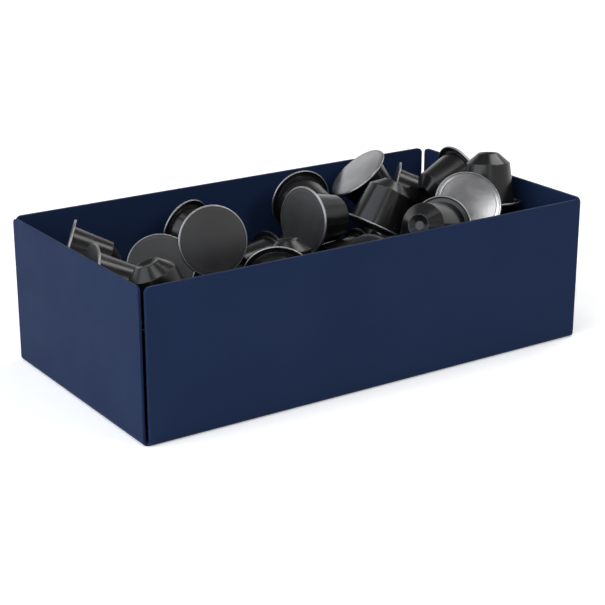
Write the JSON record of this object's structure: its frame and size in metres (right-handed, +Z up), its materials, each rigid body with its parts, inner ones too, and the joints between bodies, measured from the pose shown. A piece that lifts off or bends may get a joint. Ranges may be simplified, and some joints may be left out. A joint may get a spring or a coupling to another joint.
{
  "type": "coffee capsule holder",
  "caption": "Open rectangular tray folded from coated steel sheet, with slit corners, holding a loose heap of single-serve coffee capsules.",
  "frame": {"origin": "middle of the tray's underside, on the surface it stands on", "axes": "+X along the tray's length, +Z up, and the long front wall at -Y"},
  "size_m": [0.275, 0.142, 0.0967],
  "materials": {
    "tray_coat": "satin powder coat",
    "cup_aluminium": "dark lacquer",
    "lid_foil": "dark matte lacquer",
    "light_lid_foil": "bare matte foil",
    "ground_coffee": "ground"
  },
  "bodies": {
    "tray_and_buried_capsules": {"folded_tray": "tray_coat", "buried_cup": "cup_aluminium", "buried_lid": "lid_foil", "buried_coffee": "ground_coffee", "capsule_01_cup": "cup_aluminium", "capsule_01_lid": "lid_foil", "capsule_01_coffee": "ground_coffee", "capsule_11_cup": "cup_aluminium", "capsule_11_lid": "lid_foil", "capsule_11_coffee": "ground_coffee"},
    "capsule_02": {"capsule_02_cup": "cup_aluminium", "capsule_02_lid": "lid_foil", "capsule_02_coffee": "ground_coffee"},
    "capsule_03": {"capsule_03_cup": "cup_aluminium", "capsule_03_lid": "lid_foil", "capsule_03_coffee": "ground_coffee"},
    "capsule_04": {"capsule_04_cup": "cup_aluminium", "capsule_04_lid": "lid_foil", "capsule_04_coffee": "ground_coffee"},
    "capsule_05": {"capsule_05_cup": "cup_aluminium", "capsule_05_lid": "lid_foil", "capsule_05_coffee": "ground_coffee"},
    "capsule_06": {"capsule_06_cup": "cup_aluminium", "capsule_06_lid": "lid_foil", "capsule_06_coffee": "ground_coffee"},
    "capsule_07": {"capsule_07_cup": "cup_aluminium", "capsule_07_lid": "lid_foil", "capsule_07_coffee": "ground_coffee"},
    "capsule_08": {"capsule_08_cup": "cup_aluminium", "capsule_08_lid": "lid_foil", "capsule_08_coffee": "ground_coffee"},
    "capsule_09": {"capsule_09_cup": "cup_aluminium", "capsule_09_lid": "lid_foil", "capsule_09_coffee": "ground_coffee"},
    "capsule_10": {"capsule_10_cup": "cup_aluminium", "capsule_10_lid": "lid_foil", "capsule_10_coffee": "ground_coffee"},
    "capsule_12": {"capsule_12_cup": "cup_aluminium", "capsule_12_lid": "light_lid_foil", "capsule_12_coffee": "ground_coffee"},
    "capsule_13": {"capsule_13_cup": "cup_aluminium", "capsule_13_lid": "lid_foil", "capsule_13_coffee": "ground_coffee"},
    "capsule_14": {"capsule_14_cup": "cup_aluminium", "capsule_14_lid": "lid_foil", "capsule_14_coffee": "ground_coffee"},
    "capsule_15": {"capsule_15_cup": "cup_aluminium", "capsule_15_lid": "lid_foil", "capsule_15_coffee": "ground_coffee"},
    "capsule_16": {"capsule_16_cup": "cup_aluminium", "capsule_16_lid": "lid_foil", "capsule_16_coffee": "ground_coffee"},
    "capsule_17": {"capsule_17_cup": "cup_aluminium", "capsule_17_lid": "light_lid_foil", "capsule_17_coffee": "ground_coffee"}
  },
  "joints": [
    {"name": "capsule_02_lift", "type": "slide", "parent": "tray_and_buried_capsules", "child": "capsule_02", "axis": [0, 0, 1], "range_m": [0, 0.08]},
    {"name": "capsule_03_lift", "type": "slide", "parent": "tray_and_buried_capsules", "child": "capsule_03", "axis": [0, 0, 1], "range_m": [0, 0.08]},
    {"name": "capsule_04_lift", "type": "slide", "parent": "tray_and_buried_capsules", "child": "capsule_04", "axis": [0, 0, 1], "range_m": [0, 0.08]},
    {"name": "capsule_05_lift", "type": "slide", "parent": "tray_and_buried_capsules", "child": "capsule_05", "axis": [0, 0, 1], "range_m": [0, 0.08]},
    {"name": "capsule_06_lift", "type": "slide", "parent": "tray_and_buried_capsules", "child": "capsule_06", "axis": [0, 0, 1], "range_m": [0, 0.08]},
    {"name": "capsule_07_lift", "type": "slide", "parent": "tray_and_buried_capsules", "child": "capsule_07", "axis": [0, 0, 1], "range_m": [0, 0.08]},
    {"name": "capsule_08_lift", "type": "slide", "parent": "tray_and_buried_capsules", "child": "capsule_08", "axis": [0, 0, 1], "range_m": [0, 0.08]},
    {"name": "capsule_09_lift", "type": "slide", "parent": "tray_and_buried_capsules", "child": "capsule_09", "axis": [0, 0, 1], "range_m": [0, 0.08]},
    {"name": "capsule_10_lift", "type": "slide", "parent": "tray_and_buried_capsules", "child": "capsule_10", "axis": [0, 0, 1], "range_m": [0, 0.08]},
    {"name": "capsule_12_lift", "type": "slide", "parent": "tray_and_buried_capsules", "child": "capsule_12", "axis": [0, 0, 1], "range_m": [0, 0.08]},
    {"name": "capsule_13_lift", "type": "slide", "parent": "tray_and_buried_capsules", "child": "capsule_13", "axis": [0, 0, 1], "range_m": [0, 0.08]},
    {"name": "capsule_14_lift", "type": "slide", "parent": "tray_and_buried_capsules", "child": "capsule_14", "axis": [0, 0, 1], "range_m": [0, 0.08]},
    {"name": "capsule_15_lift", "type": "slide", "parent": "tray_and_buried_capsules", "child": "capsule_15", "axis": [0, 0, 1], "range_m": [0, 0.08]},
    {"name": "capsule_16_lift", "type": "slide", "parent": "tray_and_buried_capsules", "child": "capsule_16", "axis": [0, 0, 1], "range_m": [0, 0.08]},
    {"name": "capsule_17_lift", "type": "slide", "parent": "tray_and_buried_capsules", "child": "capsule_17", "axis": [0, 0, 1], "range_m": [0, 0.08]}
  ]
}
